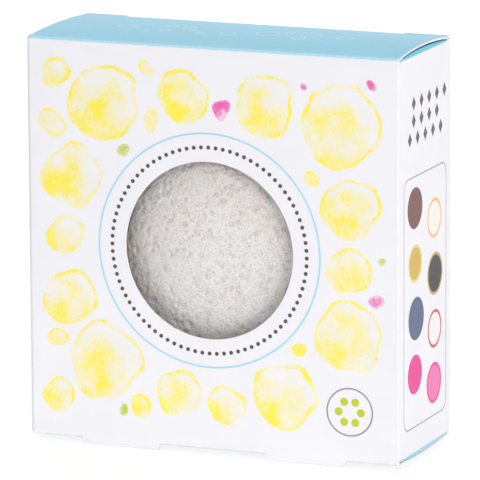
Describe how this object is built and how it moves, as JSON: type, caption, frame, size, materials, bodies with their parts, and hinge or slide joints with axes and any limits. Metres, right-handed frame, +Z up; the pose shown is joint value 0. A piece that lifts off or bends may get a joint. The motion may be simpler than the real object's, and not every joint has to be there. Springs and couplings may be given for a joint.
{
  "type": "boxed konjac sponge",
  "caption": "Domed konjac face sponge in a windowed tuck carton with a clear film patch; both ends open on creased lids with tuck and dust flaps, and the sponge lifts out.",
  "frame": {"origin": "under the middle of the carton, on the surface that its feet stand on", "axes": "+Z up, the front with the window faces -Y, +X is right as seen from the front"},
  "size_m": [0.088, 0.0326, 0.0924],
  "materials": {
    "white_board": "satin",
    "blue_board": "satin",
    "clear_film": "gloss",
    "glue": "matte",
    "sponge_foam": "matte"
  },
  "bodies": {
    "carton": {"front_panel": "white_board", "back_panel": "white_board", "left_panel": "white_board", "right_panel": "white_board", "front_left_fold": "white_board", "front_right_fold": "white_board", "back_right_fold": "white_board", "back_left_fold": "white_board", "glue_flap": "white_board", "seam_glue": "glue", "window_film": "clear_film", "window_glue": "glue"},
    "top_lid": {"top_lid": "blue_board", "top_lid_crease": "blue_board"},
    "top_tuck": {"top_tuck_flap": "blue_board", "top_tuck_crease": "blue_board"},
    "top_left_dust": {"top_left_dust_flap": "blue_board", "top_left_dust_crease": "blue_board"},
    "top_right_dust": {"top_right_dust_flap": "blue_board", "top_right_dust_crease": "blue_board"},
    "bottom_lid": {"bottom_lid": "blue_board", "bottom_lid_crease": "blue_board"},
    "bottom_tuck": {"bottom_tuck_flap": "blue_board", "bottom_tuck_crease": "blue_board"},
    "bottom_left_dust": {"bottom_left_dust_flap": "blue_board", "bottom_left_dust_crease": "blue_board"},
    "bottom_right_dust": {"bottom_right_dust_flap": "blue_board", "bottom_right_dust_crease": "blue_board"},
    "sponge": {"sponge": "sponge_foam"}
  },
  "joints": [
    {"name": "top_lid_hinge", "type": "hinge", "parent": "carton", "child": "top_lid", "pos_m": [0, -0.0155, 0.0907], "axis": [1, 0, 0], "range_deg": [0, 178], "deforming": ["top_lid_crease"]},
    {"name": "top_tuck_fold", "type": "hinge", "parent": "top_lid", "child": "top_tuck", "pos_m": [0, 0.0149, 0.0907], "axis": [1, 0, 0], "range_deg": [0, 75.76], "deforming": ["top_tuck_crease"]},
    {"name": "top_left_dust_fold", "type": "hinge", "parent": "carton", "child": "top_left_dust", "pos_m": [-0.0432, 0, 0.0901], "axis": [0, -1, 0], "range_deg": [0, 152.3], "deforming": ["top_left_dust_crease"]},
    {"name": "top_right_dust_fold", "type": "hinge", "parent": "carton", "child": "top_right_dust", "pos_m": [0.0432, 0, 0.0901], "axis": [0, 1, 0], "range_deg": [0, 152.3], "deforming": ["top_right_dust_crease"]},
    {"name": "sponge_lift", "type": "slide", "parent": "carton", "child": "sponge", "axis": [0, 0, 1], "range_m": [0, 0.0905]},
    {"name": "bottom_lid_hinge", "type": "hinge", "parent": "carton", "child": "bottom_lid", "pos_m": [0, -0.0155, 0.002], "axis": [-1, 0, 0], "range_deg": [0, 178], "deforming": ["bottom_lid_crease"]},
    {"name": "bottom_tuck_fold", "type": "hinge", "parent": "bottom_lid", "child": "bottom_tuck", "pos_m": [0, 0.0149, 0.002], "axis": [-1, 0, 0], "range_deg": [0, 54.4], "deforming": ["bottom_tuck_crease"]},
    {"name": "bottom_left_dust_fold", "type": "hinge", "parent": "carton", "child": "bottom_left_dust", "pos_m": [-0.0432, 0, 0.0026], "axis": [0, 1, 0], "range_deg": [0, 152.3], "deforming": ["bottom_left_dust_crease"]},
    {"name": "bottom_right_dust_fold", "type": "hinge", "parent": "carton", "child": "bottom_right_dust", "pos_m": [0.0432, 0, 0.0026], "axis": [0, -1, 0], "range_deg": [0, 152.3], "deforming": ["bottom_right_dust_crease"]}
  ],
  "couplings": [
    {"joint": "top_lid_hinge", "follows": "sponge_lift", "rad_per_m": 34.3},
    {"joint": "top_tuck_fold", "follows": "sponge_lift", "rad_per_m": 14.406},
    {"joint": "top_left_dust_fold", "follows": "sponge_lift", "rad_per_m": 29.155},
    {"joint": "top_right_dust_fold", "follows": "sponge_lift", "rad_per_m": 29.155},
    {"joint": "bottom_tuck_fold", "follows": "bottom_lid_hinge", "ratio": 0.3},
    {"joint": "bottom_left_dust_fold", "follows": "bottom_lid_hinge", "ratio": 0.85},
    {"joint": "bottom_right_dust_fold", "follows": "bottom_lid_hinge", "ratio": 0.85}
  ]
}
